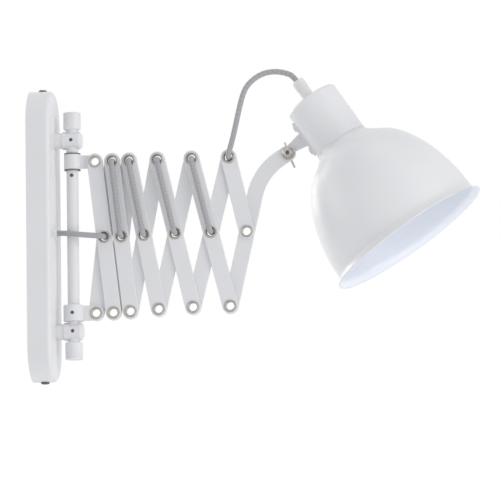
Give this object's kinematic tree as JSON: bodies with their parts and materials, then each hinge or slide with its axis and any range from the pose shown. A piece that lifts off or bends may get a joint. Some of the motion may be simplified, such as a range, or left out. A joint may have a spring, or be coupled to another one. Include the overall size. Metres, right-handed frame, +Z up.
{
  "type": "wall spotlight",
  "caption": "Wall spotlight with a bell shade on a lazy-tongs scissor arm that swivels on a rod, with a cable threaded through its eyelets",
  "frame": {"origin": "middle of the wall plate's back, on the wall, midway between the two wall holes", "axes": "+X out of the wall, +Z up, Y across the wall; the arm works in the plane Y = 0"},
  "size_m": [0.4894, 0.1856, 0.3371],
  "materials": {
    "white_enamel": "satin powder coat",
    "zinc_steel": "zinc plated",
    "nickel": "nickel plated",
    "dark_steel": "blackened",
    "white_plastic": "moulded",
    "brass": "plain",
    "grey_textile": "woven sleeve"
  },
  "bodies": {
    "root": {"plate_cover": "white_enamel", "wall_bracket": "zinc_steel", "cover_screws": "dark_steel", "terminal_block": "white_plastic", "terminal_screws": "brass", "cord_grommet": "white_plastic", "rod_brackets": "white_enamel", "bracket_bolts": "zinc_steel", "rod_grub_screws": "dark_steel", "guide_rod": "white_enamel", "rod_caps": "white_enamel", "snap_rings": "dark_steel", "cable_entry": "grey_textile"},
    "upper_slider": {"upper_sleeve": "white_enamel"},
    "lower_slider": {"lower_sleeve": "white_enamel", "drag_screw": "dark_steel"},
    "front_1": {"front_link_1": "white_enamel", "eyelets_1": "nickel", "cable_to_arm": "grey_textile"},
    "rear_1": {"rear_link_1": "white_enamel", "cable_rear_1": "grey_textile", "lower_tab_eyelet": "nickel"},
    "front_2": {"front_link_2": "white_enamel", "eyelets_2": "nickel", "cable_front_2": "grey_textile"},
    "rear_2": {"rear_link_2": "white_enamel", "cable_rear_2": "grey_textile"},
    "front_3": {"front_link_3": "white_enamel", "eyelets_3": "nickel", "cable_front_3": "grey_textile"},
    "rear_3": {"rear_link_3": "white_enamel", "cable_rear_3": "grey_textile"},
    "front_4": {"front_link_4": "white_enamel", "eyelets_4": "nickel", "cable_front_4": "grey_textile"},
    "rear_4": {"rear_link_4": "white_enamel", "cable_rear_4": "grey_textile"},
    "front_5": {"front_link_5": "white_enamel", "eyelets_5": "nickel", "cable_front_5": "grey_textile"},
    "rear_5": {"rear_link_5": "white_enamel", "cable_rear_5": "grey_textile"},
    "front_6": {"front_half_link": "white_enamel", "eyelets_6": "nickel", "cable_loop_up": "grey_textile"},
    "arm": {"curved_arm": "white_enamel", "pivot_screw": "nickel", "pivot_washers": "nickel"},
    "head": {"socket_cup": "white_enamel", "shade": "white_enamel", "lamp_holder": "white_plastic", "holder_contacts": "brass", "shade_ring": "white_plastic", "gland_body": "white_plastic", "gland_nut": "white_plastic", "head_bracket": "white_enamel", "bracket_screws": "nickel", "bracket_nuts": "zinc_steel", "cable_loop_over": "grey_textile"},
    "wing": {"wing_nut": "nickel"}
  },
  "joints": [
    {"name": "swivel", "type": "hinge", "parent": "root", "child": "upper_slider", "pos_m": [0.0451, 0, 0.081], "axis": [0, 0, 1], "range_deg": [-80, 80], "deforming": ["cable_entry"]},
    {"name": "extend", "type": "hinge", "parent": "upper_slider", "child": "front_1", "pos_m": [0.0701, 0, 0.081], "axis": [0, -1, 0], "range_deg": [0, 13.55], "deforming": ["cable_to_arm"]},
    {"name": "middle_1", "type": "hinge", "parent": "front_1", "child": "rear_1", "pos_m": [0.07955, 0, -0.00196], "axis": [0, -1, 0], "range_deg": [-27.59, 0.5]},
    {"name": "lower_tab", "type": "hinge", "parent": "rear_1", "child": "lower_slider", "pos_m": [0.0701, 0, -0.08493], "axis": [0, -1, 0], "range_deg": [-0.5, 14.05]},
    {"name": "top_2", "type": "hinge", "parent": "rear_1", "child": "front_2", "pos_m": [0.08901, 0, 0.081], "axis": [0, -1, 0], "range_deg": [-0.5, 27.66]},
    {"name": "middle_2", "type": "hinge", "parent": "front_2", "child": "rear_2", "pos_m": [0.09831, 0, -0.00198], "axis": [0, -1, 0], "range_deg": [-27.73, 0.5]},
    {"name": "top_3", "type": "hinge", "parent": "rear_2", "child": "front_3", "pos_m": [0.10762, 0, 0.081], "axis": [0, -1, 0], "range_deg": [-0.5, 25.22]},
    {"name": "middle_3", "type": "hinge", "parent": "front_3", "child": "rear_3", "pos_m": [0.12312, 0, -0.00105], "axis": [0, -1, 0], "range_deg": [-22.71, 0.5]},
    {"name": "top_4", "type": "hinge", "parent": "rear_3", "child": "front_4", "pos_m": [0.13863, 0, 0.081], "axis": [0, -1, 0], "range_deg": [-0.5, 21.65]},
    {"name": "middle_4", "type": "hinge", "parent": "front_4", "child": "rear_4", "pos_m": [0.15741, 0, -0.00036], "axis": [0, -1, 0], "range_deg": [-20.59, 0.5]},
    {"name": "top_5", "type": "hinge", "parent": "rear_4", "child": "front_5", "pos_m": [0.17619, 0, 0.081], "axis": [0, -1, 0], "range_deg": [-0.5, 20.14]},
    {"name": "middle_5", "type": "hinge", "parent": "front_5", "child": "rear_5", "pos_m": [0.19653, 0, 0.00002], "axis": [0, -1, 0], "range_deg": [-19.68, 0.5]},
    {"name": "top_6", "type": "hinge", "parent": "rear_5", "child": "front_6", "pos_m": [0.21688, 0, 0.081], "axis": [0, -1, 0], "range_deg": [-0.5, 20.09]},
    {"name": "middle_6", "type": "hinge", "parent": "front_6", "child": "arm", "pos_m": [0.2358, 0, -0.00033], "axis": [0, -1, 0], "range_deg": [-20.5, 0.5], "deforming": ["cable_loop_up"]},
    {"name": "head_tilt", "type": "hinge", "parent": "arm", "child": "head", "pos_m": [0.28163, 0, 0.08374], "axis": [0, -1, 0], "range_deg": [-25, 55], "deforming": ["cable_loop_over"]},
    {"name": "wing_turn", "type": "hinge", "parent": "arm", "child": "wing", "pos_m": [0.28163, 0, 0.08374], "axis": [0, 1, 0], "range_deg": [0, 180]}
  ],
  "couplings": [
    {"joint": "middle_1", "follows": "extend", "ratio": -2},
    {"joint": "lower_tab", "follows": "extend", "ratio": 1},
    {"joint": "top_2", "follows": "extend", "ratio": 2.005},
    {"joint": "middle_2", "follows": "extend", "ratio": -2.0099},
    {"joint": "top_3", "follows": "extend", "ratio": 1.8247},
    {"joint": "middle_3", "follows": "extend", "ratio": -1.6395},
    {"joint": "top_4", "follows": "extend", "ratio": 1.5611},
    {"joint": "middle_4", "follows": "extend", "ratio": -1.4827},
    {"joint": "top_5", "follows": "extend", "ratio": 1.4495},
    {"joint": "middle_5", "follows": "extend", "ratio": -1.4162},
    {"joint": "top_6", "follows": "extend", "ratio": 1.4463},
    {"joint": "middle_6", "follows": "extend", "ratio": -1.4764}
  ]
}
